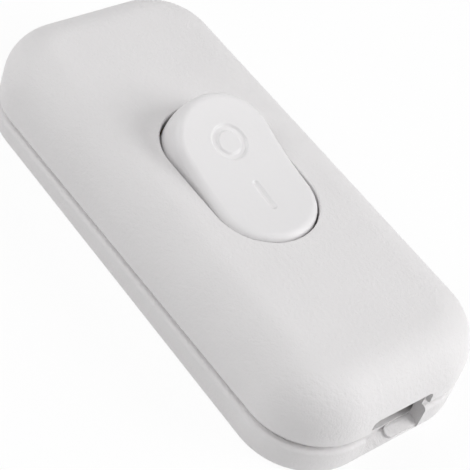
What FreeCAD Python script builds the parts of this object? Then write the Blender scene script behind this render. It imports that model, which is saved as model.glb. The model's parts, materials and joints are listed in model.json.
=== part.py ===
import FreeCAD, Part
import Sketcher
import os
import re

# Inline cord switch: a two-part moulded housing with a double-pole rocker mechanism.
# X runs along the cord, Y across the housing and Z up. The origin is on the underside, in its middle.
# The rocker stands with its +X end pressed in, which is the closed state of both poles.

doc = FreeCAD.newDocument("inline_cord_switch")
sheet = doc.addObject("Spreadsheet::Sheet", "Sizes")

DRIVING_SIZES = [
    # Housing
    ("body_length", 80.0, "outside length of the housing"),
    ("body_width", 36.0, "outside width of the housing"),
    ("body_height", 15.0, "height of the flat top above the underside"),
    ("corner_radius", 10.6, "plan corner radius of both shells"),
    ("edge_round", 6.9, "rounding of the upper shell's top edge"),
    ("draft_angle", 2.3, "draft of the upper shell's side walls, degrees"),
    ("base_rim", 4.0, "height of the lower shell's outer wall, halfway along it"),
    ("parting_slope", 1.2, "rise of the parting towards the front, degrees"),
    ("foot_round", 0.8, "rounding of the underside's edge"),
    ("rim_soft", 0.7, "rounding of the lower shell's upper edge"),
    ("skirt_soft", 0.3, "rounding of the upper shell's lower edge"),
    ("shadow_gap", 1.2, "visible gap between the two shells"),
    ("shell_wall", 2.0, "wall of both shells"),
    ("base_floor", 1.8, "floor of the lower shell"),
    ("ledge", 1.0, "depth of the step outside the locating lip"),
    ("lip_rise", 3.0, "height of the locating lip above the ledge, halfway along it"),
    ("lip_clearance", 0.1, "side clearance of the lip in the upper shell"),
    # Cord mouths, one at each end
    ("mouth_width", 11.0, "width of the cord mouth"),
    ("mouth_top", 8.5, "height of the mouth's upper edge"),
    ("mouth_round", 1.0, "rounding of the mouth's upper corners"),
    ("sill_inner", 1.0, "height of the sill where it meets the floor"),
    ("sill_outer", 0.35, "height of the sill at the outer face"),
    ("sill_depth", 1.6, "depth of the sloping sill"),
    ("rest_start", 0.2, "distance of the cord rest's round end from the middle plane"),
    ("rest_rise", 0.45, "height of the cord rest above the sill"),
    ("rest_radius", 0.85, "radius of the cord rest's round end"),
    ("rest_inset", 0.25, "distance of the cord rest from the housing's end face"),
    # Rocker and its opening
    ("opening_length", 27.4, "length of the rocker opening"),
    ("opening_width", 16.5, "width of the rocker opening"),
    ("opening_round", 0.2, "rounding of the opening's upper edge"),
    ("pivot_height", 11.8, "height of the rocker's pivot axis"),
    ("rocker_tilt", 12.0, "tilt of the rocker from level, degrees"),
    ("side_gap", 0.35, "gap along the rocker's sides"),
    ("end_gap", 0.15, "gap at the rocker's ends, at the wall's inner face"),
    ("rocker_rise", 4.6, "middle of the rocker's top above the pivot"),
    ("blank_waist", 2.3, "section of the rocker's blank halfway up, above the pivot"),
    ("blank_top", 7.36, "top of the rocker's blank before the dish, above the pivot"),
    ("dish_radius", 42.0, "radius of the finger dish along the rocker"),
    ("rim_round", 1.2, "rounding of the rocker's rim"),
    ("rocker_skirt", 1.8, "reach of the rocker's skirt below the pivot"),
    ("rocker_wall", 1.4, "wall of the rocker's skirt"),
    ("rocker_roof", 2.0, "thickness of the rocker's top in its middle"),
    ("trunnion_radius", 0.95, "radius of the rocker's pivot pins"),
    ("trunnion_clearance", 0.05, "radial clearance of the pins in their ears"),
    ("ear_gap", 0.35, "distance of the ears from the opening's side"),
    ("ear_thickness", 1.8, "thickness of the pivot ears"),
    ("ear_radius", 2.0, "radius of the pivot ears' lower end"),
    # Plungers in the rocker's legs
    ("pole_offset", 3.6, "distance of each pole from the middle plane"),
    ("leg_radius", 1.8, "outside radius of the rocker's legs"),
    ("leg_reach", 4.3, "reach of the legs below the pivot"),
    ("bore_top", 2.0, "height of the leg bore's end above the pivot"),
    ("plunger_radius", 1.1, "radius of the plunger and its round tip"),
    ("plunger_clearance", 0.05, "radial clearance of the plunger in its bore"),
    ("plunger_shank", 3.1, "length of the plunger's straight shank"),
    ("tip_gap", 0.1, "smallest distance of the plunger tip from the lever"),
    ("spring_wire", 0.3, "wire thickness of the plunger spring"),
    ("spring_clearance", 0.1, "clearance of the spring in its bore"),
    ("spring_turns", 6.0, "turns of the plunger spring"),
    # Contact levers
    ("lever_height", 5.0, "height of the levers' pivot axis"),
    ("lever_tilt", 8.0, "tilt of the levers from level, degrees"),
    ("lever_width", 2.6, "width of the lever strip"),
    ("lever_thickness", 0.6, "thickness of the lever strip"),
    ("lever_corner", 0.65, "plan corner radius of the lever strip"),
    ("contact_arm", 7.5, "distance of the contact from the lever's pivot"),
    ("arm_margin", 1.4, "strip beyond the middle of the contact"),
    ("tail_arm", 5.0, "length of the lever's other arm"),
    ("tab_length", 0.8, "length of the lever's pivot tabs along X"),
    ("tab_margin", 0.2, "reach of the tabs past the cheeks"),
    ("contact_radius", 1.1, "radius of the contact buttons"),
    ("contact_height", 0.45, "height of the contact buttons"),
    ("contact_round", 0.25, "rounding of the contact buttons"),
    ("contact_gap", 0.1, "distance of the closed contacts"),
    # Terminals
    ("strip_thickness", 0.8, "thickness of the terminal strips"),
    ("cheek_thickness", 0.6, "thickness of the lever support's cheeks"),
    ("cheek_gap", 0.2, "side gap of the lever between its cheeks"),
    ("cheek_length", 3.2, "length of the cheeks along X"),
    ("notch_clearance", 0.05, "clearance of the lever's tabs in their notches"),
    ("terminal_start", 16.0, "distance of the terminal blocks from the middle"),
    ("terminal_length", 6.4, "length of the terminal blocks"),
    ("terminal_width", 5.6, "width of the terminal blocks"),
    ("terminal_height", 5.6, "height of the terminal blocks"),
    ("terminal_shift", 1.0, "sideways shift of the blocks from their pole"),
    ("terminal_edge", 0.4, "chamfer of the terminal blocks"),
    ("wire_radius", 1.5, "radius of the wire holes"),
    ("wire_height", 2.6, "height of the wire holes above the floor"),
    ("barrier", 1.2, "thickness of the barrier between the poles"),
    ("barrier_length", 20.0, "length of the barrier between the poles"),
    ("barrier_height", 4.8, "height of the barrier above the floor"),
    # Cord clamps
    ("clamp_inset", 10.0, "distance of the cord clamps from the housing's ends"),
    ("clamp_seat", 6.2, "height of the clamp posts"),
    ("clamp_span", 17.4, "length of the clamp bars across the housing"),
    ("clamp_width", 5.0, "width of the clamp bars"),
    ("clamp_thickness", 2.8, "thickness of the clamp bars"),
    ("clamp_edge", 0.6, "rounding of the clamp bars' upper edges"),
    ("clamp_corner", 1.67, "plan corner radius of the clamp bars"),
    ("cord_radius", 3.6, "radius of the hollow under the clamp bars"),
    ("cord_bite", 1.0, "depth of that hollow"),
    ("clamp_hole_inset", 2.3, "distance of the clamp screws from the bars' ends"),
    ("clamp_post_radius", 2.5, "radius of the clamp posts"),
    # Screws
    ("screw_clearance", 0.05, "radial clearance of every screw in its hole"),
    ("terminal_screw_radius", 1.4, "radius of the terminal screws"),
    ("clamp_screw_radius", 1.2, "radius of the clamp screws"),
    ("clamp_screw_depth", 2.6, "height of the clamp screws' ends"),
    ("housing_screw_radius", 1.3, "radius of the housing screws"),
    ("housing_screw_end", 11.0, "height of the housing screws' ends"),
    ("housing_screw_x", 25.0, "distance of the housing screws from the middle, along X"),
    ("housing_screw_y", 12.2, "distance of the housing screws from the middle, along Y"),
    ("small_head_radius", 2.1, "head radius of the terminal and clamp screws"),
    ("small_head_height", 1.6, "head height of the terminal and clamp screws"),
    ("housing_head_radius", 2.6, "head radius of the housing screws"),
    ("housing_head_height", 1.3, "head height of the housing screws"),
    ("head_recess", 1.7, "depth of the underside's screw recesses"),
    ("head_clearance", 0.3, "radial clearance of the heads in their recesses"),
    ("slot_width", 0.7, "width of the screw slots"),
    ("slot_depth", 0.7, "depth of the screw slots"),
    ("post_radius", 3.0, "radius of the lower screw posts"),
    ("post_height", 6.0, "height of the lower screw posts"),
    ("post_gap", 0.1, "gap between the lower and upper screw posts"),
    ("post_root", 0.3, "reach of the upper posts and ears into the roof"),
]
NAMES = {alias for alias, number, note in DRIVING_SIZES}

for row, (alias, number, note) in enumerate(DRIVING_SIZES, start=1):
    sheet.set(f"A{row}", note)
    sheet.set(f"B{row}", str(number))
    sheet.setAlias(f"B{row}", alias)
doc.recompute()

# Places that several pieces share, worked out from the driving sizes
SLOPE = "tan(parting_slope * 1 deg)"
PARTING_REACH = "(body_length / 2 + shell_wall)"
PARTING_RISE = f"({PARTING_REACH} * {SLOPE})"
SHELL_FOOT = "(base_rim + shadow_gap)"
SHELL_LOW = f"({SHELL_FOOT} - {PARTING_RISE})"
LIP_TOP = "(base_rim + lip_rise)"
ROOF = "(body_height - shell_wall)"
ROCKER_WIDTH = "(opening_width - 2 * side_gap)"
END_RADIUS = "sqrt((opening_length / 2 - end_gap)^2 + (body_height - shell_wall - pivot_height)^2)"
EAR_INNER = "(opening_width / 2 + ear_gap)"
EAR_OUTER = f"({EAR_INNER} + ear_thickness)"
TIP_REACH = "(pivot_height - lever_height - lever_thickness / 2 - plunger_radius - tip_gap)"
PLUNGER_TOP = f"({TIP_REACH} - plunger_shank)"
STRIP_TOP = "(base_floor + strip_thickness)"
TERMINAL_TOP = "(base_floor + terminal_height)"
TERMINAL_MIDDLE = "(terminal_start + terminal_length / 2)"
TERMINAL_OFFSET = "(pole_offset + terminal_shift)"
CHEEK_INNER = "(lever_width / 2 + cheek_gap)"
CHEEK_OUTER = f"({CHEEK_INNER} + cheek_thickness)"
NOTCH_RADIUS = "(sqrt(tab_length^2 + lever_thickness^2) / 2 + notch_clearance)"
CLAMP_PLACE = "(body_length / 2 - clamp_inset)"
CLAMP_OFFSET = "(clamp_span / 2 - clamp_hole_inset)"
CLAMP_TOP = "(clamp_seat + clamp_thickness)"
BEYOND = 1.0
SIDES = {"left": 1, "right": -1}
ENDS = {"front": 1, "rear": -1}
ACROSS = FreeCAD.Rotation(FreeCAD.Vector(1, 0, 0), -90)
ALONG = FreeCAD.Rotation(FreeCAD.Vector(0, 1, 0), 90)
UPRIGHT = FreeCAD.Rotation()


def cells(text):
    """Expression in which every size's name becomes its cell of the sheet."""
    return re.sub(r"[a-z_]+", lambda m: f"Sizes.{m[0]}" if m[0] in NAMES else m[0], str(text))


def value(text):
    """Present number of such an expression."""
    result = sheet.evalExpression(cells(text))
    return float(getattr(result, "Value", result))


def bind(item, **properties):
    """Ties properties of an object to expressions on the sheet; a double underscore is a dot."""
    for name, text in properties.items():
        item.setExpression(name.replace("__", "."), cells(text))


def place(item, x="0", y="0", z="0"):
    """Ties an object's place to the sheet."""
    bind(item, Placement__Base__x=x, Placement__Base__y=y, Placement__Base__z=z)


def new_body(name):
    """Empty body whose label is the sub-part's name."""
    body = doc.addObject("PartDesign::Body", name)
    body.Label = name
    return body


def tilt(body, angle, y="0", z="0"):
    """Stands a body that was drawn about its pivot at its place, turned about Y."""
    body.Placement.Rotation = FreeCAD.Rotation(FreeCAD.Vector(0, 1, 0), abs(value(angle)))
    bind(body, Placement__Rotation__Angle=f"{angle} * 1 deg")
    place(body, "0", y, z)


def box(body, name, x, y, z, cut=False):
    """Block between pairs of coordinates, added to a body or cut from it."""
    block = body.newObject("PartDesign::SubtractiveBox" if cut else "PartDesign::AdditiveBox", name)
    bind(block, Length=f"{x[1]} - ({x[0]})", Width=f"{y[1]} - ({y[0]})", Height=f"{z[1]} - ({z[0]})")
    place(block, x[0], y[0], z[0])
    return block


def rod(body, name, radius, length, x="0", y="0", z="0", turn=UPRIGHT, cut=False):
    """Round bar from a point along the turned Z axis, added to a body or cut from it."""
    bar = body.newObject("PartDesign::SubtractiveCylinder" if cut else "PartDesign::AdditiveCylinder", name)
    bar.Placement.Rotation = turn
    bind(bar, Radius=radius, Height=length)
    place(bar, x, y, z)
    return bar


def sketch_on(body, name, plane, offset="0"):
    """Sketch on one of the body's own origin planes, moved along its normal."""
    sketch = body.newObject("Sketcher::SketchObject", name)
    origin = [item for item in body.Origin.OriginFeatures if item.Role == plane]
    sketch.AttachmentSupport = [(origin[0], "")]
    sketch.MapMode = "FlatFace"
    bind(sketch, AttachmentOffset__Base__z=offset)
    return sketch


def limit(sketch, text, *constraint):
    """Adds a dimension that follows an expression on the sheet."""
    number = sketch.addConstraint(Sketcher.Constraint(*constraint, value(text)))
    sketch.setExpression(f"Constraints[{number}]", cells(text))


def rounded_rectangle(sketch, length, width, radius):
    """Rectangle with four equal corner arcs about the sketch's origin."""
    x, y, r = value(length) / 2, value(width) / 2, value(radius)
    corners = [(x - r, y - r, 0), (r - x, y - r, 90), (r - x, r - y, 180), (x - r, r - y, 270)]
    arcs = []
    for cx, cy, start in corners:
        circle = Part.Circle(FreeCAD.Vector(cx, cy), FreeCAD.Vector(0, 0, 1), r)
        turn = FreeCAD.Units.Quantity(f"{start} deg").getValueAs("rad").Value
        quarter = FreeCAD.Units.Quantity("90 deg").getValueAs("rad").Value
        arcs.append(sketch.addGeometry(Part.ArcOfCircle(circle, turn, turn + quarter)))
    for index, arc in enumerate(arcs):
        following = arcs[(index + 1) % 4]
        edge = Part.LineSegment(sketch.getPoint(arc, 2), sketch.getPoint(following, 1))
        line = sketch.addGeometry(edge)
        sketch.addConstraint(Sketcher.Constraint("Tangent", arc, 2, line, 1))
        sketch.addConstraint(Sketcher.Constraint("Tangent", line, 2, following, 1))
        sketch.addConstraint(Sketcher.Constraint("Vertical" if index % 2 else "Horizontal", line))
    for arc in arcs[1:]:
        sketch.addConstraint(Sketcher.Constraint("Equal", arcs[0], arc))
    sketch.addConstraint(Sketcher.Constraint("Symmetric", arcs[0], 3, arcs[2], 3, -1, 1))
    limit(sketch, radius, "Radius", arcs[0])
    limit(sketch, f"{length} - 2 * ({radius})", "DistanceX", arcs[1], 3, arcs[0], 3)
    limit(sketch, f"{width} - 2 * ({radius})", "DistanceY", arcs[2], 3, arcs[1], 3)


def stadium(sketch, length, width):
    """Two straight sides with half-round ends about the sketch's origin."""
    x, r = value(length) / 2 - value(width) / 2, value(width) / 2
    half = FreeCAD.Units.Quantity("90 deg").getValueAs("rad").Value
    normal = FreeCAD.Vector(0, 0, 1)
    right = sketch.addGeometry(Part.ArcOfCircle(Part.Circle(FreeCAD.Vector(x, 0), normal, r), -half, half))
    left = sketch.addGeometry(Part.ArcOfCircle(Part.Circle(FreeCAD.Vector(-x, 0), normal, r), half, 3 * half))
    for first, second in ((right, left), (left, right)):
        side = sketch.addGeometry(Part.LineSegment(sketch.getPoint(first, 2), sketch.getPoint(second, 1)))
        sketch.addConstraint(Sketcher.Constraint("Tangent", first, 2, side, 1))
        sketch.addConstraint(Sketcher.Constraint("Tangent", side, 2, second, 1))
    sketch.addConstraint(Sketcher.Constraint("Horizontal", side))
    sketch.addConstraint(Sketcher.Constraint("Symmetric", right, 3, left, 3, -1, 1))
    limit(sketch, f"({width}) / 2", "Radius", right)
    limit(sketch, f"{length} - ({width})", "DistanceX", left, 3, right, 3)


def polygon(sketch, points):
    """Closed run of straight lines through points given as pairs of expressions."""
    corners = [FreeCAD.Vector(value(x), value(y)) for x, y in points]
    lines = []
    for index, corner in enumerate(corners):
        lines.append(sketch.addGeometry(Part.LineSegment(corner, corners[(index + 1) % len(corners)])))
    for index, line in enumerate(lines):
        sketch.addConstraint(Sketcher.Constraint("Coincident", line, 2, lines[(index + 1) % len(lines)], 1))
    for line, (x, y) in zip(lines, points):
        limit(sketch, x, "DistanceX", -1, 1, line, 1)
        limit(sketch, y, "DistanceY", -1, 1, line, 1)


def pad(body, sketch, length, taper=None):
    """Block raised from a sketch along its normal."""
    block = body.newObject("PartDesign::Pad", f"{sketch.Name}_pad")
    block.Profile = sketch
    bind(block, Length=length)
    if taper:
        bind(block, TaperAngle=taper)
    doc.recompute()
    return block


def pocket(body, sketch, depth, upwards=False):
    """Hollow sunk from a sketch against its normal, or along it."""
    doc.recompute()
    before = body.Shape.Volume
    hollow = body.newObject("PartDesign::Pocket", f"{sketch.Name}_pocket")
    hollow.Profile = sketch
    hollow.Reversed = upwards
    bind(hollow, Length=depth)
    doc.recompute()
    if not body.Shape.Volume < before:
        raise RuntimeError(f"{hollow.Name} removes nothing")
    return hollow


def soften(body, name, chosen, radius, kind="Fillet"):
    """Rounds or chamfers the edges of a body that a test chooses."""
    doc.recompute()
    tip = body.Tip
    edges = [f"Edge{n}" for n, edge in enumerate(tip.Shape.Edges, start=1) if chosen(edge)]
    feature = body.newObject(f"PartDesign::{kind}", name)
    feature.Base = (tip, edges)
    bind(feature, **{"Size" if kind == "Chamfer" else "Radius": radius})
    doc.recompute()
    return feature


def lies_at(edge, height):
    """Whether an edge lies in the level plane of an expression."""
    bounds = edge.BoundBox
    return abs(bounds.ZMin - value(height)) < 1e-4 and abs(bounds.ZMax - value(height)) < 1e-4


def is_upright(edge):
    """Whether an edge is a straight line along Z."""
    return edge.Curve.TypeId == "Part::GeomLine" and abs(abs(edge.Curve.Direction.z) - 1) < 1e-6


def is_mouth_corner(edge):
    """Whether an edge is one of the cord mouths' upper corners, which run through the end walls."""
    runs_along = edge.BoundBox.YLength < 1e-4
    off_side = abs(abs(edge.BoundBox.YMax) - value("mouth_width / 2"))
    return lies_at(edge, "mouth_top") and runs_along and off_side < 1e-4


def cut_at_parting(body, name, height, far):
    """Cuts off all of a shell between the sloping parting plane and a level on its far side."""
    section = sketch_on(body, name, "XZ_Plane", f"body_width / 2 + {BEYOND}")
    polygon(section, [
        (f"-{PARTING_REACH}", f"{height} - {PARTING_RISE}"),
        (PARTING_REACH, f"{height} + {PARTING_RISE}"),
        (PARTING_REACH, far),
        (f"-{PARTING_REACH}", far),
    ])
    pocket(body, section, f"body_width + 2 * {BEYOND}")


def soften_parting(body, name, height, radius):
    """Rounds the outer edge of a shell's face in the sloping parting plane."""
    doc.recompute()
    slope = value(SLOPE)

    def off_plane(face):
        """Largest distance of a face's corners from the parting plane."""
        return max(abs(corner.Z - value(height) - slope * corner.X) for corner in face.Vertexes)
    parting = min(body.Tip.Shape.Faces, key=off_plane)
    rim = [edge.hashCode() for edge in parting.OuterWire.Edges]
    soften(body, name, lambda edge: edge.hashCode() in rim, radius)


def cut_sill(body, name, sign, rise):
    """Cuts away what lies over a mouth's sloping sill, raised by an expression."""
    section = sketch_on(body, name, "XZ_Plane", "mouth_width / 2")
    lost = "(sill_inner - sill_outer)"
    polygon(section, [
        (f"{sign} * (body_length / 2 - sill_depth)", f"sill_inner + {rise}"),
        (f"{sign} * body_length / 2", f"sill_outer + {rise}"),
        (f"{sign} * (body_length / 2 + sill_depth)", f"sill_outer + {rise} - {lost}"),
        (f"{sign} * (body_length / 2 + sill_depth)", f"sill_inner + {rise} + {lost}"),
    ])
    pocket(body, section, "mouth_width")


def build_base_shell():
    """Tray with a locating lip, cord mouths with sloping sills, screw posts and a pole barrier."""
    body = new_body("base_shell")
    outline = sketch_on(body, "base_outline", "XY_Plane")
    rounded_rectangle(outline, "body_length", "body_width", "corner_radius")
    pad(body, outline, f"base_rim + {PARTING_RISE}")
    soften(body, "foot_rounding", lambda edge: lies_at(edge, "0"), "foot_round")
    cut_at_parting(body, "rim_cut", "base_rim", f"(base_rim + {PARTING_RISE} + {BEYOND})")
    soften_parting(body, "rim_softening", "base_rim", "rim_soft")
    lip = sketch_on(body, "lip_outline", "XY_Plane", "base_floor")
    rounded_rectangle(lip, "body_length - 2 * ledge", "body_width - 2 * ledge", "corner_radius - ledge")
    pad(body, lip, f"{LIP_TOP} - base_floor")
    hollow = sketch_on(body, "tray_outline", "XY_Plane", LIP_TOP)
    inner = "corner_radius - shell_wall"
    rounded_rectangle(hollow, "body_length - 2 * shell_wall", "body_width - 2 * shell_wall", inner)
    pocket(body, hollow, f"{LIP_TOP} - base_floor")
    for end, sign in ENDS.items():
        outside = f"{sign} * (body_length / 2 + {BEYOND})"
        wall = sorted((f"{sign} * (body_length / 2 - shell_wall)", outside), key=value)
        box(body, f"mouth_{end}", wall, ("-mouth_width / 2", "mouth_width / 2"),
            ("sill_inner", f"{LIP_TOP} + {BEYOND}"), cut=True)
        cut_sill(body, f"sill_{end}", sign, "0")
        face = f"{sign} * (body_length / 2 - rest_inset)"
        rest = sorted((face, f"{face} - {sign} * 2 * rest_radius"), key=value)
        turn = f"{sign} * (rest_start + rest_radius)"
        flank = sorted((turn, f"{sign} * mouth_width / 2"), key=value)
        level = ("sill_outer", "(sill_inner + rest_rise)")
        box(body, f"rest_{end}", rest, flank, level)
        rod(body, f"rest_end_{end}", "rest_radius", f"{level[1]} - {level[0]}",
            f"{face} - {sign} * rest_radius", turn, level[0])
        cut_sill(body, f"rest_slope_{end}", sign, "rest_rise")
        for side, across in SIDES.items():
            spot = f"{end}_{side}"
            x, y = f"{sign} * {CLAMP_PLACE}", f"{across} * {CLAMP_OFFSET}"
            rise = "clamp_seat - sill_inner"
            rod(body, f"clamp_post_{spot}", "clamp_post_radius", rise, x, y, "sill_inner")
            depth = f"clamp_seat - clamp_screw_depth + {BEYOND}"
            rod(body, f"clamp_hole_{spot}", "clamp_screw_radius + screw_clearance", depth,
                x, y, "clamp_screw_depth - screw_clearance", cut=True)
            x, y = f"{sign} * housing_screw_x", f"{across} * housing_screw_y"
            rod(body, f"screw_post_{spot}", "post_radius", "post_height - sill_inner", x, y, "sill_inner")
            rod(body, f"screw_hole_{spot}", "housing_screw_radius + screw_clearance",
                f"post_height + 2 * {BEYOND}", x, y, f"-{BEYOND}", cut=True)
            rod(body, f"head_recess_{spot}", "housing_head_radius + head_clearance",
                f"head_recess + {BEYOND}", x, y, f"-{BEYOND}", cut=True)
    box(body, "pole_barrier", ("-barrier_length / 2", "barrier_length / 2"), ("-barrier / 2", "barrier / 2"),
        ("sill_inner", "base_floor + barrier_height"))
    return body


def build_top_shell():
    """Hollow pillow with drafted walls, broad rounded top edge, rocker opening and pivot ears."""
    body = new_body("top_shell")
    outline = sketch_on(body, "shell_outline", "XY_Plane", SHELL_LOW)
    rounded_rectangle(outline, "body_length", "body_width", "corner_radius")
    pad(body, outline, f"body_height - {SHELL_LOW}", "-draft_angle")
    soften(body, "edge_rounding", lambda edge: lies_at(edge, "body_height"), "edge_round")
    core = doc.addObject("PartDesign::Body", "shell_core")
    inner = sketch_on(core, "core_outline", "XY_Plane", SHELL_LOW)
    rounded_rectangle(inner, "body_length - 2 * shell_wall", "body_width - 2 * shell_wall",
                      "corner_radius - shell_wall")
    pad(core, inner, f"{ROOF} - {SHELL_LOW}", "-draft_angle")
    soften(core, "core_rounding", lambda edge: lies_at(edge, ROOF), "edge_round - shell_wall")
    hollow = body.newObject("PartDesign::Boolean", "shell_hollow")
    hollow.Type = "Cut"
    hollow.setObjects([core])
    doc.recompute()
    rebate = sketch_on(body, "rebate_outline", "XY_Plane", SHELL_LOW)
    inset = "(ledge - lip_clearance)"
    rounded_rectangle(rebate, f"body_length - 2 * {inset}", f"body_width - 2 * {inset}",
                      f"corner_radius - {inset}")
    pocket(body, rebate, f"{LIP_TOP} - {SHELL_LOW}", upwards=True)
    cut_at_parting(body, "foot_cut", SHELL_FOOT, f"({SHELL_LOW} - {BEYOND})")
    soften_parting(body, "foot_softening", SHELL_FOOT, "skirt_soft")
    window = sketch_on(body, "rocker_opening", "XY_Plane", "body_height")
    stadium(window, "opening_length", "opening_width")
    pocket(body, window, f"shell_wall + {BEYOND}")

    def round_the_opening(edge):
        """Whether an edge runs round the opening in the top face."""
        reach = max(abs(edge.BoundBox.XMax), abs(edge.BoundBox.XMin))
        return lies_at(edge, "body_height") and reach < value("opening_length / 2") + 1e-3
    soften(body, "opening_rounding", round_the_opening, "opening_round")
    root = f"({ROOF} + post_root)"
    for side, across in SIDES.items():
        ear = sorted((f"{across} * {EAR_INNER}", f"{across} * {EAR_OUTER}"), key=value)
        box(body, f"ear_{side}", ("-ear_radius", "ear_radius"), ear, ("pivot_height", root))
        rod(body, f"ear_end_{side}", "ear_radius", "ear_thickness", "0", ear[0], "pivot_height", ACROSS)
        rod(body, f"ear_bore_{side}", "trunnion_radius + trunnion_clearance", f"ear_thickness + {BEYOND}",
            "0", f"{ear[0]} - {BEYOND} / 2", "pivot_height", ACROSS, cut=True)
    for end, sign in ENDS.items():
        wall = sorted((f"{sign} * (body_length / 2 - shell_wall - {BEYOND})",
                       f"{sign} * (body_length / 2 + {BEYOND})"), key=value)
        box(body, f"mouth_top_{end}", wall, ("-mouth_width / 2", "mouth_width / 2"),
            (f"{SHELL_LOW} - {BEYOND}", "mouth_top"), cut=True)
        for side, across in SIDES.items():
            spot = f"{end}_{side}"
            x, y = f"{sign} * housing_screw_x", f"{across} * housing_screw_y"
            low = "(post_height + post_gap)"
            rod(body, f"upper_post_{spot}", "post_radius", f"{root} - {low}", x, y, low)
            rod(body, f"upper_hole_{spot}", "housing_screw_radius + screw_clearance",
                f"housing_screw_end - {low} + {BEYOND} + screw_clearance",
                x, y, f"{low} - {BEYOND}", cut=True)
    soften(body, "mouth_rounding", is_mouth_corner, "mouth_round")
    return body


def build_rocker():
    """Dished rocker cap with pivot pins and two bored legs, drawn level about its pivot."""
    body = new_body("rocker")
    levels = ["-rocker_skirt", "0", "blank_waist", "blank_top"]
    sections = []
    for number, level in enumerate(levels):
        section = sketch_on(body, f"rocker_section_{number}", "XY_Plane", level)
        stadium(section, f"(2 * sqrt({END_RADIUS}^2 - ({level})^2))", ROCKER_WIDTH)
        sections.append(section)
    cap = body.newObject("PartDesign::AdditiveLoft", "rocker_cap")
    cap.Profile = sections[0]
    cap.Sections = sections[1:]
    doc.recompute()
    rod(body, "finger_dish", "dish_radius", "opening_width", "0", "-opening_width / 2",
        "rocker_rise + dish_radius", ACROSS, cut=True)
    doc.recompute()
    dish = [face for face in body.Tip.Shape.Faces if face.Surface.TypeId == "Part::GeomCylinder"
            and abs(face.Surface.Radius - value("dish_radius")) < 1e-6]
    rim = [edge.hashCode() for edge in dish[0].Edges]
    soften(body, "rim_rounding", lambda edge: edge.hashCode() in rim, "rim_round")
    inside = sketch_on(body, "rocker_inside", "XY_Plane", "-rocker_skirt")
    hollow_length = f"(2 * sqrt({END_RADIUS}^2 - rocker_skirt^2) - 2 * rocker_wall)"
    stadium(inside, hollow_length, f"({ROCKER_WIDTH} - 2 * rocker_wall)")
    pocket(body, inside, "rocker_skirt + rocker_rise - rocker_roof", upwards=True)
    pin_start = f"({ROCKER_WIDTH} / 2 - rocker_wall / 2)"
    pin_length = f"({EAR_OUTER} - {pin_start})"
    for side, across in SIDES.items():
        start = pin_start if across > 0 else f"-{EAR_OUTER}"
        rod(body, f"pivot_pin_{side}", "trunnion_radius", pin_length, "0", start, "0", ACROSS)
        y = f"{across} * pole_offset"
        leg = "leg_reach + rocker_rise - rocker_roof + post_root"
        rod(body, f"leg_{side}", "leg_radius", leg, "0", y, "-leg_reach")
        rod(body, f"leg_bore_{side}", "plunger_radius + plunger_clearance",
            f"leg_reach + bore_top + {BEYOND}", "0", y, f"-leg_reach - {BEYOND}", cut=True)
    tilt(body, "rocker_tilt", z="pivot_height")
    return body


def build_plunger(side, across):
    """Round-nosed pin that slides in the rocker's leg."""
    body = new_body(f"plunger_{side}")
    y = f"{across} * pole_offset"
    rod(body, f"plunger_shank_{side}", "plunger_radius", "plunger_shank", "0", y, f"-{TIP_REACH}")
    nose = body.newObject("PartDesign::AdditiveSphere", f"plunger_nose_{side}")
    bind(nose, Radius="plunger_radius")
    place(nose, "0", y, f"-{TIP_REACH}")
    tilt(body, "rocker_tilt", z="pivot_height")
    return body


def build_plunger_spring(side, across):
    """Coil spring between the end of the leg's bore and the plunger."""
    mean = "(plunger_radius + plunger_clearance - spring_clearance - spring_wire / 2)"
    length = f"({PLUNGER_TOP} + bore_top - spring_wire)"
    coil = doc.addObject("Part::Helix", f"spring_line_{side}")
    bind(coil, Radius=mean, Height=length, Pitch=f"{length} / spring_turns")
    wire = doc.addObject("Part::Circle", f"spring_section_{side}")
    wire.Placement.Rotation = ACROSS
    bind(wire, Radius="spring_wire / 2")
    place(wire, mean)
    spring = doc.addObject("Part::Sweep", f"plunger_spring_{side}")
    spring.Label = f"plunger_spring_{side}"
    doc.recompute()
    spring.Sections = [wire]
    spring.Spine = (coil, [f"Edge{n}" for n in range(1, len(coil.Shape.Edges) + 1)])
    spring.Solid = True
    spring.Frenet = True
    spring.Placement.Rotation = FreeCAD.Rotation(FreeCAD.Vector(0, 1, 0), value("rocker_tilt"))
    bind(spring, Placement__Rotation__Angle="rocker_tilt * 1 deg")
    low = f"({PLUNGER_TOP} - spring_wire / 2)"
    place(spring, f"-{low} * sin(rocker_tilt * 1 deg)", f"{across} * pole_offset",
          f"pivot_height - {low} * cos(rocker_tilt * 1 deg)")
    return spring


def build_contact_lever(side, across):
    """Two-armed contact strip with pivot tabs, drawn level about its pivot."""
    body = new_body(f"contact_lever_{side}")
    thick = ("-lever_thickness / 2", "lever_thickness / 2")
    wide = ("-lever_width / 2", "lever_width / 2")
    box(body, f"lever_strip_{side}", ("-contact_arm - arm_margin", "tail_arm"), wide, thick)
    soften(body, f"lever_corners_{side}", is_upright, "lever_corner")
    reach = f"({CHEEK_OUTER} + tab_margin)"
    box(body, f"lever_tabs_{side}", ("-tab_length / 2", "tab_length / 2"), (f"-{reach}", reach), thick)
    tilt(body, "-lever_tilt", f"{across} * pole_offset", "lever_height")
    return body


def build_moving_contact(side, across):
    """Contact button under the lever's contact arm."""
    body = new_body(f"moving_contact_{side}")
    low = "(-lever_thickness / 2 - contact_height)"
    rod(body, f"moving_button_{side}", "contact_radius", "contact_height", "-contact_arm", "0", low)
    soften(body, f"moving_rounding_{side}", lambda edge: lies_at(edge, low), "contact_round")
    tilt(body, "-lever_tilt", f"{across} * pole_offset", "lever_height")
    return body


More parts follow.
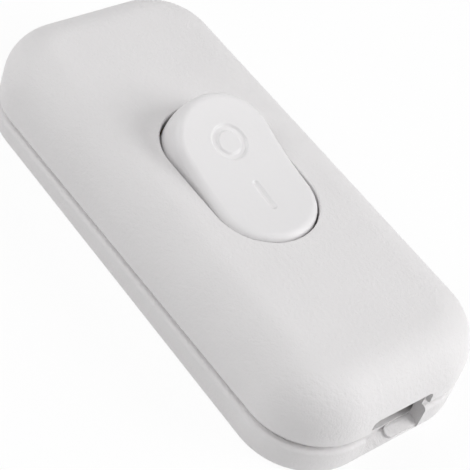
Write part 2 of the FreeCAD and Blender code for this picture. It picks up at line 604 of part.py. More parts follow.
def closed_contact():
    """Place and height of the closed contact point as expressions: X, then Z."""
    drop = "(lever_thickness / 2 + contact_height)"
    turn = "(lever_tilt * 1 deg)"
    x = f"(-contact_arm * cos{turn} + {drop} * sin{turn})"
    edge = "(contact_arm + contact_radius - contact_round)"
    z = f"(lever_height - {edge} * sin{turn} - {drop} * cos{turn} - contact_gap)"
    return x, z


def build_fixed_contact(side, across):
    """Contact button on the load terminal, just under the closed lever."""
    x, z = closed_contact()
    body = new_body(f"fixed_contact_{side}")
    rod(body, f"fixed_button_{side}", "contact_radius + contact_round", f"{z} - {STRIP_TOP}", x,
        f"{across} * pole_offset", STRIP_TOP)
    return body


def terminal_block(body, spot, sign, across):
    """Adds a terminal block with its wire hole and screw hole at the outer end of a strip."""
    x = sorted((f"{sign} * terminal_start", f"{sign} * (terminal_start + terminal_length)"), key=value)
    middle = f"{across} * {TERMINAL_OFFSET}"
    y = (f"{middle} - terminal_width / 2", f"{middle} + terminal_width / 2")
    box(body, f"block_{spot}", x, y, ("base_floor", TERMINAL_TOP))
    soften(body, f"block_edges_{spot}", lambda edge: lies_at(edge, TERMINAL_TOP), "terminal_edge", "Chamfer")
    rod(body, f"wire_hole_{spot}", "wire_radius", f"terminal_length + 2 * {BEYOND}",
        f"{x[0]} - {BEYOND}", middle, "base_floor + wire_height", ALONG, cut=True)
    rod(body, f"screw_hole_{spot}", "terminal_screw_radius + screw_clearance",
        f"terminal_height - wire_height + {BEYOND}", f"{sign} * {TERMINAL_MIDDLE}", middle,
        "base_floor + wire_height", cut=True)


def build_supply_terminal(side, across):
    """Terminal on the +X side, whose strip ends in two notched cheeks that carry the lever."""
    body = new_body(f"supply_terminal_{side}")
    middle = f"{across} * pole_offset"
    terminal_block(body, f"supply_{side}", 1, across)
    box(body, f"supply_strip_{side}", ("-cheek_length / 2", "terminal_start + terminal_edge"),
        (f"{middle} - {CHEEK_OUTER}", f"{middle} + {CHEEK_OUTER}"), ("base_floor", STRIP_TOP))
    for name, sign in (("inner", -1), ("outer", 1)):
        y = sorted((f"{middle} + {sign} * {CHEEK_INNER}", f"{middle} + {sign} * {CHEEK_OUTER}"), key=value)
        box(body, f"cheek_{name}_{side}", ("-cheek_length / 2", "cheek_length / 2"), y,
            ("base_floor", "lever_height"))
    rod(body, f"notch_{side}", NOTCH_RADIUS, f"2 * ({CHEEK_OUTER} + {BEYOND})", "0",
        f"{middle} - {CHEEK_OUTER} - {BEYOND}", "lever_height", ACROSS, cut=True)
    return body


def build_load_terminal(side, across):
    """Terminal on the -X side, whose strip carries the fixed contact."""
    body = new_body(f"load_terminal_{side}")
    middle = f"{across} * pole_offset"
    terminal_block(body, f"load_{side}", -1, across)
    x = ("-terminal_start - terminal_edge", "-contact_arm + contact_radius + arm_margin")
    box(body, f"load_strip_{side}", x, (f"{middle} - {CHEEK_OUTER}", f"{middle} + {CHEEK_OUTER}"),
        ("base_floor", STRIP_TOP))
    return body


def build_cord_clamp(end, sign):
    """Clamp bar across the cord's way, hollowed underneath for the cord."""
    body = new_body(f"cord_clamp_{end}")
    middle = f"{sign} * {CLAMP_PLACE}"
    x = (f"{middle} - clamp_width / 2", f"{middle} + clamp_width / 2")
    box(body, f"clamp_bar_{end}", x, ("-clamp_span / 2", "clamp_span / 2"), ("clamp_seat", CLAMP_TOP))
    soften(body, f"clamp_corners_{end}", is_upright, "clamp_corner")
    soften(body, f"clamp_edges_{end}", lambda edge: lies_at(edge, CLAMP_TOP), "clamp_edge")
    rod(body, f"cord_hollow_{end}", "cord_radius", f"clamp_width + 2 * {BEYOND}", f"{x[0]} - {BEYOND}", "0",
        "clamp_seat + cord_bite - cord_radius", ALONG, cut=True)
    for side, across in SIDES.items():
        rod(body, f"bar_hole_{end}_{side}", "clamp_screw_radius + screw_clearance",
            f"clamp_thickness + 2 * {BEYOND}", middle, f"{across} * {CLAMP_OFFSET}",
            f"clamp_seat - {BEYOND}", cut=True)
    return body


def build_screws(name, radius, head_radius, head_height, spots, seat, end):
    """Group of slotted screws; the head lies beyond the seat, on the far side from the screw's end."""
    upward = value(end) > value(seat)
    screws = []
    for number, (x, y) in enumerate(spots):
        head = doc.addObject("Part::Cylinder", f"{name}_head_{number}")
        bind(head, Radius=head_radius, Height=head_height)
        place(head, x, y, f"{seat} - {head_height}" if upward else seat)
        shank = doc.addObject("Part::Cylinder", f"{name}_shank_{number}")
        bind(shank, Radius=radius, Height=f"abs({end} - {seat})")
        place(shank, x, y, seat if upward else end)
        whole = doc.addObject("Part::Fuse", f"{name}_blank_{number}")
        whole.Base = head
        whole.Tool = shank
        slot = doc.addObject("Part::Box", f"{name}_slot_{number}")
        bind(slot, Length=f"2 * {head_radius} + 2 * {BEYOND}", Width="slot_width",
             Height=f"slot_depth + {BEYOND}")
        level = f"{seat} - {head_height} - {BEYOND}" if upward else f"{seat} + {head_height} - slot_depth"
        place(slot, f"{x} - {head_radius} - {BEYOND}", f"{y} - slot_width / 2", level)
        screw = doc.addObject("Part::Cut", f"{name}_{number}")
        screw.Base = whole
        screw.Tool = slot
        screws.append(screw)
    group = doc.addObject("Part::Compound", name)
    group.Label = name
    group.Links = screws
    return group


def four_spots(x, y):
    """The four mirror places of one corner."""
    return [(f"{sign} * {x}", f"{across} * {y}") for sign in ENDS.values() for across in SIDES.values()]


def build_all():
    """Every sub-part of the switch."""
    parts = [build_base_shell(), build_top_shell(), build_rocker()]
    for side, across in SIDES.items():
        for build in (build_plunger, build_plunger_spring, build_contact_lever, build_moving_contact,
                      build_fixed_contact, build_supply_terminal, build_load_terminal):
            parts.append(build(side, across))
    for end, sign in ENDS.items():
        parts.append(build_cord_clamp(end, sign))
    small = ("small_head_radius", "small_head_height")
    large = ("housing_head_radius", "housing_head_height")
    spots = four_spots(TERMINAL_MIDDLE, TERMINAL_OFFSET)
    wire_grip = "(base_floor + wire_height + wire_radius / 2)"
    parts.append(build_screws("terminal_screws", "terminal_screw_radius", *small, spots,
                              TERMINAL_TOP, wire_grip))
    spots = four_spots(CLAMP_PLACE, CLAMP_OFFSET)
    parts.append(build_screws("clamp_screws", "clamp_screw_radius", *small, spots,
                              CLAMP_TOP, "clamp_screw_depth"))
    spots = four_spots("housing_screw_x", "housing_screw_y")
    parts.append(build_screws("housing_screws", "housing_screw_radius", *large, spots,
                              "head_recess", "housing_screw_end"))
    return parts


def check(parts):
    """Stops if any object of the document failed or a sub-part has no sound shape."""
    doc.recompute()
    failed = [item.Name for item in doc.Objects if {"Invalid", "Error"} & set(item.State)]
    failed += [part.Label for part in parts if part.Shape.isNull() or not part.Shape.isValid()]
    if failed:
        raise RuntimeError(f"failed: {failed}")


def export(parts):
    """Writes each sub-part's shape to a file of its own."""
    os.makedirs("parts", exist_ok=True)
    for part in parts:
        part.Shape.exportStep(f"parts/{part.Label}.step")
        solids = len(part.Shape.Solids)
        print(f"{part.Label}: {solids} solid(s), {part.Shape.Volume:.1f} mm3")


SUBPARTS = build_all()
check(SUBPARTS)
export(SUBPARTS)
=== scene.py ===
"""Looks of an inline cord switch: moulded shells, an engraved rocker and the metal of its mechanism."""

import json
import logging
from dataclasses import dataclass
from enum import Enum

import bpy
import numpy as np
from mathutils import Matrix, Vector


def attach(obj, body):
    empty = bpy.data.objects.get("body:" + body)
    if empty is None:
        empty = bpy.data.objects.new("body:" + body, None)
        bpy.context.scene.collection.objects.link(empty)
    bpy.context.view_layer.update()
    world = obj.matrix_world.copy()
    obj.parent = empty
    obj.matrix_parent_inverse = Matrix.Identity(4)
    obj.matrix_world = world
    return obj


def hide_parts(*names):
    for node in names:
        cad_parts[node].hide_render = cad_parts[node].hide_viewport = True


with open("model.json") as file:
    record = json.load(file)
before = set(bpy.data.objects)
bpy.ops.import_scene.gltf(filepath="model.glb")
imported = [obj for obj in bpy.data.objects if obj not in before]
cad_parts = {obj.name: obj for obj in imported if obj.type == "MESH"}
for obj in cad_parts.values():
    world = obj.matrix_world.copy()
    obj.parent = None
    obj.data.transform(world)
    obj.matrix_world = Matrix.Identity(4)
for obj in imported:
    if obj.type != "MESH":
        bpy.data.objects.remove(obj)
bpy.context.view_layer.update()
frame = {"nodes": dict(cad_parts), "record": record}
MM = 0.001
NOISE_SPAN = (0.3, 0.7)
LOG = logging.getLogger("cord_switch")
Triple = tuple[float, float, float]
Socket = bpy.types.NodeSocket


class Slot(Enum):
    """Finishes that the part's record names."""

    SHELL = "shell_plastic"
    ROCKER = "rocker_plastic"
    CLAMP = "clamp_plastic"
    BRASS = "terminal_brass"
    COPPER = "lever_copper"
    SILVER = "contact_silver"
    ZINC = "plated_steel"
    SPRING = "spring_steel"


class Mark(Enum):
    """Signs engraved in the rocker's finger dish."""

    OFF_RING = "O"
    ON_BAR = "I"


@dataclass
class NodeSheet:
    """Node tree of one material, with short calls for adding and linking nodes."""

    name: str

    def __post_init__(self) -> None:
        """Starts the material with its shader and its object coordinates."""
        self.material = bpy.data.materials.new(self.name)
        self.material.use_nodes = True
        self.tree = self.material.node_tree
        self.shader = self.tree.nodes["Principled BSDF"]
        self.place = self.add("ShaderNodeTexCoord").outputs["Object"]

    def add(self, kind: str, **values: object) -> bpy.types.Node:
        """Adds a node and sets its properties and unlinked inputs.

        Args:
            kind: Blender's name of the node type.
            values: properties of the node, or its inputs by name with underscores for spaces.

        Returns:
            The new node.
        """
        node = self.tree.nodes.new(kind)
        for key, value in values.items():
            if hasattr(node, key):
                setattr(node, key, value)
            else:
                node.inputs[key.replace("_", " ")].default_value = value
        return node

    def link(self, source: Socket, target: Socket) -> None:
        """Joins an output to an input."""
        self.tree.links.new(source, target)

    def noise(self, size: float, detail: float, stretch: Triple = (1, 1, 1)) -> Socket:
        """Adds a noise of a given feature size on object coordinates.

        Args:
            size: width of one feature in metres.
            detail: octaves of finer noise.
            stretch: share of the scale along each axis, below 1 for long streaks.

        Returns:
            The noise's grey value.
        """
        mapping = self.add("ShaderNodeMapping")
        mapping.inputs["Scale"].default_value = tuple(part / size for part in stretch)
        self.link(self.place, mapping.inputs["Vector"])
        texture = self.add("ShaderNodeTexNoise", Scale=1.0, Detail=detail)
        self.link(mapping.outputs["Vector"], texture.inputs["Vector"])
        return texture.outputs["Fac"]

    def spread(self, source: Socket, low: float, high: float) -> Socket:
        """Maps the span in which most of a noise lies to a range of numbers.

        Args:
            source: grey value of the noise.
            low: number at the span's lower end.
            high: number at its upper end.

        Returns:
            The mapped value.
        """
        node = self.add("ShaderNodeMapRange")
        names = ("From Min", "From Max", "To Min", "To Max")
        for name, number in zip(names, (*NOISE_SPAN, low, high)):
            node.inputs[name].default_value = number
        self.link(source, node.inputs["Value"])
        return node.outputs["Result"]

    def blend(self, factor: Socket, first: Triple, second: Triple) -> Socket:
        """Mixes two colours by a value.

        Args:
            factor: share of the second colour.
            first: red, green and blue at 0.
            second: red, green and blue at 1.

        Returns:
            The mixed colour.
        """
        node = self.add("ShaderNodeMix", data_type="RGBA")
        sockets = [socket for socket in node.inputs if socket.type == "RGBA"]
        sockets[0].default_value = (*first, 1)
        sockets[1].default_value = (*second, 1)
        self.link(factor, node.inputs["Factor"])
        return [socket for socket in node.outputs if socket.type == "RGBA"][0]

    def bump(self, *layers: tuple[Socket, float, float]) -> None:
        """Stacks height layers into the shader's normal.

        Args:
            layers: height value, its depth in metres and its strength.
        """
        normal = None
        for height, depth, strength in layers:
            node = self.add("ShaderNodeBump", Strength=strength, Distance=depth)
            self.link(height, node.inputs["Height"])
            if normal is not None:
                self.link(normal, node.inputs["Normal"])
            normal = node.outputs["Normal"]
        self.link(normal, self.shader.inputs["Normal"])


@dataclass(frozen=True)
class MouldedPlastic:
    """Injection-moulded plastic with a spark-eroded grain of fine specks on wider pits."""

    slot: Slot
    colour: Triple
    shade: Triple
    grain: float
    grain_depth: float
    roughness: tuple[float, float]
    drift_width: float = 9 * MM
    pit_width_ratio: float = 2.6
    pit_strength: float = 0.5
    speck_depth_ratio: float = 0.5
    speck_strength: float = 0.6
    gloss: float = 0.4

    def material(self) -> bpy.types.Material:
        """Builds the material: soft tone drift, fine grain in the normal and uneven gloss.

        Returns:
            The finished material, named after its slot.
        """
        sheet = NodeSheet(self.slot.value)
        drift = sheet.spread(sheet.noise(self.drift_width, detail=2.0), 0.0, 1.0)
        speck = sheet.noise(self.grain, detail=2.0)
        pits = sheet.noise(self.pit_width_ratio * self.grain, detail=3.0)
        tone = sheet.blend(drift, self.colour, self.shade)
        sheet.link(tone, sheet.shader.inputs["Base Color"])
        sheet.link(sheet.spread(speck, *self.roughness), sheet.shader.inputs["Roughness"])
        sheet.shader.inputs["Specular IOR Level"].default_value = self.gloss
        sheet.bump((pits, self.grain_depth, self.pit_strength),
                   (speck, self.speck_depth_ratio * self.grain_depth, self.speck_strength))
        return sheet.material


@dataclass(frozen=True)
class WorkedMetal:
    """Drawn, rolled or plated metal with streaks along one axis."""

    slot: Slot
    colour: Triple
    tarnish: Triple
    roughness: tuple[float, float]
    streak: Triple
    patch_width: float = 1.8 * MM
    line_width: float = 0.12 * MM
    line_depth: float = 0.006 * MM
    line_strength: float = 0.5

    def material(self) -> bpy.types.Material:
        """Builds the material: patchy tarnish, streaked gloss and fine drawing lines.

        Returns:
            The finished material, named after its slot.
        """
        sheet = NodeSheet(self.slot.value)
        sheet.shader.inputs["Metallic"].default_value = 1.0
        patches = sheet.spread(sheet.noise(self.patch_width, detail=4.0), 0.0, 1.0)
        lines = sheet.noise(self.line_width, detail=3.0, stretch=self.streak)
        sheet.link(sheet.blend(patches, self.colour, self.tarnish), sheet.shader.inputs["Base Color"])
        sheet.link(sheet.spread(lines, *self.roughness), sheet.shader.inputs["Roughness"])
        sheet.bump((lines, self.line_depth, self.line_strength))
        return sheet.material


FINISHES = (
    MouldedPlastic(Slot.SHELL, colour=(0.78, 0.766, 0.770), shade=(0.765, 0.751, 0.755),
                   grain=0.24 * MM, grain_depth=0.16 * MM, roughness=(0.50, 0.62)),
    MouldedPlastic(Slot.ROCKER, colour=(0.80, 0.788, 0.794), shade=(0.79, 0.778, 0.784),
                   grain=0.2 * MM, grain_depth=0.05 * MM, roughness=(0.34, 0.46)),
    MouldedPlastic(Slot.CLAMP, colour=(0.50, 0.50, 0.49), shade=(0.47, 0.47, 0.46),
                   grain=0.2 * MM, grain_depth=0.012 * MM, roughness=(0.45, 0.6)),
    WorkedMetal(Slot.BRASS, colour=(0.78, 0.60, 0.30), tarnish=(0.62, 0.45, 0.22),
                roughness=(0.24, 0.40), streak=(0.1, 1, 1)),
    WorkedMetal(Slot.COPPER, colour=(0.76, 0.46, 0.32), tarnish=(0.60, 0.34, 0.24),
                roughness=(0.22, 0.38), streak=(0.1, 1, 1)),
    WorkedMetal(Slot.SILVER, colour=(0.84, 0.83, 0.80), tarnish=(0.66, 0.64, 0.60),
                roughness=(0.2, 0.36), streak=(1, 1, 1)),
    WorkedMetal(Slot.ZINC, colour=(0.70, 0.71, 0.73), tarnish=(0.58, 0.59, 0.62),
                roughness=(0.22, 0.4), streak=(1, 0.2, 1)),
    WorkedMetal(Slot.SPRING, colour=(0.52, 0.53, 0.55), tarnish=(0.42, 0.43, 0.45),
                roughness=(0.25, 0.4), streak=(1, 1, 0.3)),
)


@dataclass
class Skin:
    """Mesh that grows out of numpy grids and rings before it goes into Blender."""

    name: str

    def __post_init__(self) -> None:
        """Starts with no points and no faces."""
        self.points: list[np.ndarray] = []
        self.corners: list[np.ndarray] = []
        self.counts: list[np.ndarray] = []
        self.total = 0

    def add_points(self, grid: np.ndarray) -> np.ndarray:
        """Adds points and gives their numbers.

        Args:
            grid: coordinates, the last axis of length 3.

        Returns:
            Numbers of the points, in the grid's shape.
        """
        flat = grid.reshape(-1, 3)
        numbers = np.arange(self.total, self.total + len(flat)).reshape(grid.shape[:-1])
        self.points.append(flat)
        self.total += len(flat)
        return numbers

    def add_quads(self, first: np.ndarray, second: np.ndarray,
                  third: np.ndarray, fourth: np.ndarray) -> None:
        """Adds four-cornered faces.

        Args:
            first: point numbers of each face's first corner.
            second: those of its second corner.
            third: those of its third corner.
            fourth: those of its fourth corner.
        """
        quads = np.stack([first, second, third, fourth], axis=-1).reshape(-1, 4)
        self.corners.append(quads.ravel())
        self.counts.append(np.full(len(quads), 4))

    def add_polygon(self, loop: np.ndarray) -> None:
        """Adds one flat face round a loop of point numbers."""
        self.corners.append(loop.ravel())
        self.counts.append(np.array([loop.size]))

    def add_rings(self, rings: np.ndarray) -> None:
        """Joins closed loops, each to the next.

        Args:
            rings: point numbers, one row for each loop, turning so that the faces point outwards.
        """
        onward = np.roll(rings, -1, axis=1)
        self.add_quads(rings[:-1], onward[:-1], onward[1:], rings[1:])

    def to_object(self, sharp: float) -> bpy.types.Object:
        """Writes the mesh and shades it smooth up to an angle.

        Args:
            sharp: angle in degrees past which an edge stays hard.

        Returns:
            The new object, at the origin.
        """
        points = np.concatenate(self.points).astype(np.float32)
        corners = np.concatenate(self.corners).astype(np.int32)
        counts = np.concatenate(self.counts).astype(np.int32)
        starts = np.concatenate([[0], np.cumsum(counts)[:-1]]).astype(np.int32)
        mesh = bpy.data.meshes.new(self.name)
        mesh.vertices.add(len(points))
        mesh.vertices.foreach_set("co", points.ravel())
        mesh.loops.add(len(corners))
        mesh.loops.foreach_set("vertex_index", corners)
        mesh.polygons.add(len(counts))
        mesh.polygons.foreach_set("loop_start", starts)
        mesh.update(calc_edges=True)
        mesh.validate()
        mesh.shade_smooth()
        mesh.set_sharp_from_angle(angle=np.radians(sharp))
        piece = bpy.data.objects.new(self.name, mesh)
        bpy.context.scene.collection.objects.link(piece)
        return piece


def soft_step(distance: np.ndarray, edge: float) -> np.ndarray:
    """Rises smoothly from 0 to 1 as the distance goes from minus the edge to plus the edge."""
    share = np.clip(0.5 + distance / (2 * edge), 0.0, 1.0)
    return share * share * (3 - 2 * share)


def slerp(first: np.ndarray, second: np.ndarray, share: float) -> np.ndarray:
    """Unit direction that turns evenly from one direction to another."""
    angle = np.arccos(np.clip(np.sum(first * second, axis=-1, keepdims=True), -1, 1))
    return (np.sin((1 - share) * angle) * first + np.sin(share * angle) * second) / np.sin(angle)


@dataclass
class Rocker:
    """Dished rocker with engraved signs, pivot pins and bored legs, drawn level about its pivot.

    The walls are stadium outlines whose half-length at height z is the root of end radius squared minus
    z squared, so that the ends stay on a cylinder about the pivot. The top is a cylinder of the dish radius
    lying across.
    """

    pivot_height: float = 11.8 * MM
    tilt: float = 12.0
    end_radius: float = 13.603 * MM
    half_width: float = 7.9 * MM
    rise: float = 4.6 * MM
    dish: float = 42.0 * MM
    rim: float = 1.2 * MM
    skirt: float = 1.8 * MM
    wall: float = 1.4 * MM
    roof: float = 2.0 * MM
    leg_radius: float = 1.8 * MM
    leg_reach: float = 4.3 * MM
    leg_overlap: float = 0.3 * MM
    bore_radius: float = 1.15 * MM
    bore_top: float = 2.0 * MM
    pole_offset: float = 3.6 * MM
    pin_radius: float = 0.95 * MM
    pin_reach: float = 10.4 * MM
    chamfer: float = 0.2 * MM
    cap_radius: float = 0.2 * MM
    ring_place: float = -4.57 * MM
    ring_radius: float = 2.25 * MM
    ring_line: float = 0.9 * MM
    bar_ends: tuple[float, float] = (2.55 * MM, 6.75 * MM)
    bar_line: float = 0.8 * MM
    depth: float = 0.3 * MM
    soft_edge: float = 0.21 * MM
    columns: int = 270
    rows: int = 216
    rim_steps: int = 12
    wall_steps: int = 8
    turned_sides: int = 40
    halvings: int = 40
    rim_search_share: float = 0.9
    hard_angle: float = 38.0

    def half_length(self, height: np.ndarray) -> np.ndarray:
        """Half-length of the wall's outline at a height above the pivot."""
        return np.sqrt(self.end_radius ** 2 - height ** 2)

    def engraving(self, x: np.ndarray, y: np.ndarray) -> np.ndarray:
        """Depth of the signs: a flat-bottomed groove about each sign's middle line, with soft edges.

        Args:
            x: place along the rocker.
            y: place across it.

        Returns:
            Depth below the dish at each point.
        """
        off_ring = np.abs(np.hypot(x - self.ring_place, y) - self.ring_radius)
        off_bar = np.hypot(x - np.clip(x, *self.bar_ends), y)
        inside = {Mark.OFF_RING: self.ring_line / 2 - off_ring, Mark.ON_BAR: self.bar_line / 2 - off_bar}
        return self.depth * np.maximum(*(soft_step(inside[mark], self.soft_edge) for mark in Mark))

    def wall_points(self, along: np.ndarray, turn: np.ndarray,
                    height: np.ndarray) -> tuple[np.ndarray, np.ndarray]:
        """Points and outward directions of the wall.

        The point is half-length minus half-width, times the place along, plus half-width times the cosine of
        the turn; across it is half-width times the sine.

        Args:
            along: place on the straight sides from -1 to 1, and -1 or 1 on the round ends.
            turn: angle on the round ends, a quarter turn on the straight sides.
            height: height above the pivot.

        Returns:
            The points and the unit normals.
        """
        along, turn, height = np.broadcast_arrays(along, turn, height)
        reach = self.half_length(height)
        end = np.sign(along) * np.cos(turn)
        points = np.stack([along * (reach - self.half_width) + end * self.half_width,
                           self.half_width * np.sin(turn), height], axis=-1)
        normals = np.stack([end, np.sin(turn), np.cos(turn) * height / reach], axis=-1)
        return points, normals / np.linalg.norm(normals, axis=-1, keepdims=True)

    def rim_centres(self, along: np.ndarray, turn: np.ndarray) -> tuple[np.ndarray, np.ndarray]:
        """Centres of the ball that rounds the rim.

        The height at which the ball meets both wall and dish is found by halving a span of heights.

        Args:
            along: place on the straight sides, as for the wall.
            turn: angle on the round ends, as for the wall.

        Returns:
            The centres and the wall's normals there.
        """
        low = np.zeros_like(along)
        high = np.full_like(along, self.rim_search_share * self.half_width)
        axis = self.rise + self.dish
        for _ in range(self.halvings):
            middle = (low + high) / 2
            points, normals = self.wall_points(along, turn, middle)
            centres = points - self.rim * normals
            above = centres[..., 2] > axis - np.sqrt((self.dish + self.rim) ** 2 - centres[..., 0] ** 2)
            low, high = np.where(above, low, middle), np.where(above, middle, high)
        return centres, normals

    def skin_loops(self, skin: Skin) -> None:
        """Adds the dish, the rounded rim, the walls and the hollow underside as one closed surface.

        The dish's height is that of its axis, minus the root of dish radius squared minus x squared, minus the
        depth of the engraving. A point of the rim is the ball's centre plus its radius times a direction that
        turns from the dish's normal to the wall's.

        Args:
            skin: mesh that takes the points and faces.
        """
        turns = np.linspace(-np.pi / 2, np.pi / 2, self.rows + 1)
        across = np.linspace(-1, 1, self.columns + 1)
        centres, _ = self.rim_centres(np.ones_like(turns), turns)
        axis = np.array([0, 0, self.rise + self.dish])
        share = self.dish / (self.dish + self.rim)
        ends = centres[:, 0] * share
        x = ends[:, None] * across
        y = np.repeat(centres[:, 1:2], len(across), axis=1)
        z = axis[2] - np.sqrt(self.dish ** 2 - x ** 2) - self.engraving(x, y)
        top = skin.add_points(np.stack([x, y, z], axis=-1))
        skin.add_quads(top[:-1, :-1], top[:-1, 1:], top[1:, 1:], top[1:, :-1])
        loop = np.concatenate([top[:-1, -1], top[-1, :0:-1], top[:0:-1, 0], top[0, :-1]])
        along = np.concatenate([np.ones(self.rows), across[:0:-1], -np.ones(self.rows), across[:-1]])
        turn = np.concatenate([turns[:-1], np.full(self.columns, np.pi / 2), turns[:0:-1],
                               np.full(self.columns, -np.pi / 2)])
        middles, outward = self.rim_centres(along, turn)
        upward = (axis - middles) * np.array([1, 0, 1])
        upward /= np.linalg.norm(upward, axis=-1, keepdims=True)
        parts = np.linspace(0, 1, self.rim_steps + 1)[1:]
        rounds = [middles + self.rim * slerp(upward, outward, part) for part in parts]
        heights = np.linspace(0, 1, self.wall_steps + 1)[1:, None]
        walls = self.wall_points(along, turn, rounds[-1][:, 2] * (1 - heights) - self.skirt * heights)[0]
        inner = self.inner_outline(along, turn)
        foot, ceiling = np.array([0, 0, -self.skirt]), np.array([0, 0, self.rise - self.roof])
        rings = np.concatenate([np.stack(rounds), walls, np.stack([inner + foot, inner + ceiling])])
        numbers = skin.add_points(rings)
        skin.add_rings(np.concatenate([loop[None], numbers])[:, ::-1])
        skin.add_polygon(numbers[-1][::-1])

    def inner_outline(self, along: np.ndarray, turn: np.ndarray) -> np.ndarray:
        """Outline of the hollow underside: the skirt's outline moved in by the wall.

        Args:
            along: place on the straight sides, as for the wall.
            turn: angle on the round ends, as for the wall.

        Returns:
            The points, at height 0.
        """
        radius = self.half_width - self.wall
        reach = self.half_length(np.array(self.skirt)) - self.wall - radius
        x = along * reach + np.sign(along) * np.cos(turn) * radius
        return np.stack([x, radius * np.sin(turn), np.zeros_like(x)], axis=-1)

    def add_turned(self, skin: Skin, profile: np.ndarray, place: np.ndarray, lying: bool) -> None:
        """Adds a body of revolution, a profile of radius and height carried round its axis.

        Args:
            skin: mesh that takes the points and faces.
            profile: rows of radius and height, from the upper end to the lower one.
            place: point on the axis at height 0.
            lying: whether the axis lies across the rocker in place of standing.
        """
        angles = np.linspace(0, 2 * np.pi, self.turned_sides, endpoint=False)
        radius, height = profile[:, :1], np.repeat(profile[:, 1:], self.turned_sides, axis=1)
        rings = np.stack([radius * np.cos(angles), radius * np.sin(angles), height], axis=-1)
        if lying:
            rings = rings[..., [1, 2, 0]]
        numbers = skin.add_points(rings + place)
        skin.add_rings(numbers[:, ::-1])
        skin.add_polygon(numbers[0])
        skin.add_polygon(numbers[-1][::-1])

    def build(self) -> bpy.types.Object:
        """Builds the rocker at its resting tilt.

        Returns:
            The rocker's object.
        """
        skin = Skin("engraved_rocker")
        self.skin_loops(skin)
        root, foot = self.rise - self.roof + self.leg_overlap, -self.leg_reach
        leg = np.array([[self.cap_radius, root], [self.leg_radius, root],
                        [self.leg_radius, foot + self.chamfer], [self.leg_radius - self.chamfer, foot],
                        [self.bore_radius, foot], [self.bore_radius, self.bore_top],
                        [self.cap_radius, self.bore_top]])
        pin = np.array([[self.pin_radius - self.chamfer, self.pin_reach],
                        [self.pin_radius, self.pin_reach - self.chamfer],
                        [self.pin_radius, self.half_width - self.wall / 2]])
        far_pin = pin[::-1] * [1, -1]
        for side, turned_pin in ((1, pin), (-1, far_pin)):
            self.add_turned(skin, leg, np.array([0, side * self.pole_offset, 0]), lying=False)
            self.add_turned(skin, turned_pin, np.zeros(3), lying=True)
        angle = np.radians(self.tilt)
        tilted = np.array([[np.cos(angle), 0, np.sin(angle)], [0, 1, 0], [-np.sin(angle), 0, np.cos(angle)]])
        skin.points = [points @ tilted.T + [0, 0, self.pivot_height] for points in skin.points]
        return skin.to_object(self.hard_angle)

    def dress(self, piece: bpy.types.Object, finishes: dict[Slot, bpy.types.Material]) -> None:
        """Gives the rocker its finish and sets it on its body in place of the plain node.

        Args:
            piece: the rocker's object.
            finishes: materials by slot.
        """
        piece.data.materials.append(finishes[Slot.ROCKER])
        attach(piece, "rocker")
        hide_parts("rocker")
        LOG.info("%s: %d faces", piece.name, len(piece.data.polygons))


@dataclass
class Mechanism:
    """Shells, terminals, levers, springs and screws that keep their exact solids."""

    def dress(self, finishes: dict[Slot, bpy.types.Material]) -> None:
        """Gives every node the material of the slot that the record names for it.

        Args:
            finishes: materials by slot.
        """
        slots = {row["node"]: Slot(row["material_slot"]) for row in frame["record"]["subparts"]}
        for name, node in frame["nodes"].items():
            node.data.materials.clear()
            node.data.materials.append(finishes[slots[name]])
            LOG.info("%s: %s", name, slots[name].value)


@dataclass(frozen=True)
class Softbox:
    """Round area lamp that faces the switch."""

    name: str
    place: Triple
    power: float
    size: float = 0.5

    def build(self) -> None:
        """Adds the lamp, turned towards the middle of the housing."""
        lamp = bpy.data.lights.new(self.name, "AREA")
        lamp.shape, lamp.size, lamp.energy = "DISK", self.size, self.power
        holder = bpy.data.objects.new(self.name, lamp)
        holder.location = self.place
        holder.rotation_euler = Vector(self.place).to_track_quat("Z", "Y").to_euler()
        bpy.context.scene.collection.objects.link(holder)


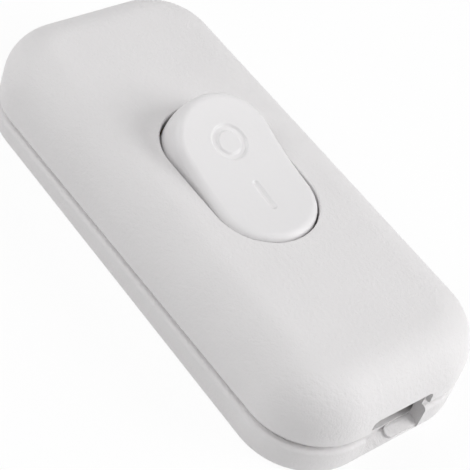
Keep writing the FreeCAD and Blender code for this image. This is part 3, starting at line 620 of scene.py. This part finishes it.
@dataclass
class Studio:
    """White floor, soft lamps and the camera at the photograph's viewing angle."""

    eye: Triple = (97.9 * MM, -121.1 * MM, 161.2 * MM)
    right: Triple = (0.585, 0.773, 0.244)
    down: Triple = (0.687, -0.312, -0.657)
    lens: float = 117.2
    sensor_width: float = 36.0
    clip_range: tuple[float, float] = (0.01, 20.0)
    floor_half: float = 1.2
    floor_drop: float = 0.02 * MM
    floor_grey: float = 0.96
    floor_roughness: float = 0.9
    floor_glow: float = 0.92
    ambient: float = 0.2
    lamps: tuple[Softbox, ...] = (
        Softbox("key_softbox", (0.441, 0.441, 0.318), power=3.3),
        Softbox("fill_softbox", (-0.374, -0.374, 0.459), power=2.25),
        Softbox("top_softbox", (0.260, -0.036, 0.649), power=1.07),
    )

    def build_camera(self) -> None:
        """Adds the camera from its right and down directions in the part's frame."""
        right = np.array(self.right) / np.linalg.norm(self.right)
        up = -np.array(self.down)
        up = up - right * (up @ right)
        up /= np.linalg.norm(up)
        data = bpy.data.cameras.new("photo_camera")
        data.lens, data.sensor_width = self.lens, self.sensor_width
        data.clip_start, data.clip_end = self.clip_range
        camera = bpy.data.objects.new("photo_camera", data)
        axes = np.eye(4)
        axes[:3] = np.stack([right, up, np.cross(right, up), self.eye], axis=1)
        camera.matrix_world = Matrix(axes.tolist())
        bpy.context.scene.collection.objects.link(camera)
        bpy.context.scene.camera = camera

    def seen(self, tree: bpy.types.NodeTree) -> Socket:
        """Adds a value that is 1 for camera, glossy and transmission rays.

        Args:
            tree: nodes of the floor's material or of the sky.

        Returns:
            The value, 0 for the rays that carry light.
        """
        path = tree.nodes.new("ShaderNodeLightPath")
        value = path.outputs["Is Camera Ray"]
        for ray in ("Is Glossy Ray", "Is Transmission Ray"):
            either = tree.nodes.new("ShaderNodeMath")
            either.operation = "MAXIMUM"
            tree.links.new(value, either.inputs[0])
            tree.links.new(path.outputs[ray], either.inputs[1])
            value = either.outputs[0]
        return value

    def build_floor(self) -> None:
        """Adds a level floor just under the switch.

        The camera sees it as white, with a share of its real shading for the shadow. From below it is clear.
        """
        half, level = self.floor_half, -self.floor_drop
        corners = [[-half, -half, level], [half, -half, level], [half, half, level], [-half, half, level]]
        mesh = bpy.data.meshes.new("floor")
        mesh.from_pydata(corners, [], [[0, 1, 2, 3]])
        floor = bpy.data.objects.new("floor", mesh)
        bpy.context.scene.collection.objects.link(floor)
        sheet = NodeSheet("studio_floor")
        sheet.shader.inputs["Base Color"].default_value = (self.floor_grey, self.floor_grey, self.floor_grey, 1)
        sheet.shader.inputs["Roughness"].default_value = self.floor_roughness
        sheet.shader.inputs["Specular IOR Level"].default_value = 0.0
        glow = sheet.add("ShaderNodeEmission")
        share = sheet.add("ShaderNodeMath", operation="MULTIPLY")
        share.inputs[1].default_value = self.floor_glow
        sheet.link(self.seen(sheet.tree), share.inputs[0])
        mixed = sheet.add("ShaderNodeMixShader")
        sheet.link(share.outputs[0], mixed.inputs[0])
        sheet.link(sheet.shader.outputs[0], mixed.inputs[1])
        sheet.link(glow.outputs[0], mixed.inputs[2])
        below = sheet.add("ShaderNodeMixShader")
        sheet.link(sheet.add("ShaderNodeNewGeometry").outputs["Backfacing"], below.inputs[0])
        sheet.link(mixed.outputs[0], below.inputs[1])
        sheet.link(sheet.add("ShaderNodeBsdfTransparent").outputs[0], below.inputs[2])
        sheet.link(below.outputs[0], sheet.tree.nodes["Material Output"].inputs["Surface"])
        mesh.materials.append(sheet.material)

    def build_world(self) -> None:
        """Sets an even grey sky that the camera and reflections see as white."""
        world = bpy.data.worlds.new("studio_sky")
        world.use_nodes = True
        tree = world.node_tree
        sky = tree.nodes["Background"]
        level = tree.nodes.new("ShaderNodeMapRange")
        level.inputs["To Min"].default_value = self.ambient
        level.inputs["To Max"].default_value = 1.0
        tree.links.new(self.seen(tree), level.inputs["Value"])
        tree.links.new(level.outputs["Result"], sky.inputs["Strength"])
        sky.inputs["Color"].default_value = (1, 1, 1, 1)
        bpy.context.scene.world = world

    def build(self) -> None:
        """Builds the whole stage."""
        self.build_camera()
        self.build_floor()
        self.build_world()
        for lamp in self.lamps:
            lamp.build()
        bpy.context.scene.view_settings.view_transform = "Standard"
        LOG.info("studio: %d lamps", len(self.lamps))


def main() -> None:
    """Builds the stage, the finishes and every piece in order."""
    logging.basicConfig(level=logging.INFO, format="%(name)s %(message)s")
    Studio().build()
    finishes = {finish.slot: finish.material() for finish in FINISHES}
    Mechanism().dress(finishes)
    rocker = Rocker()
    rocker.dress(rocker.build(), finishes)


if __name__ == "__main__":
    main()
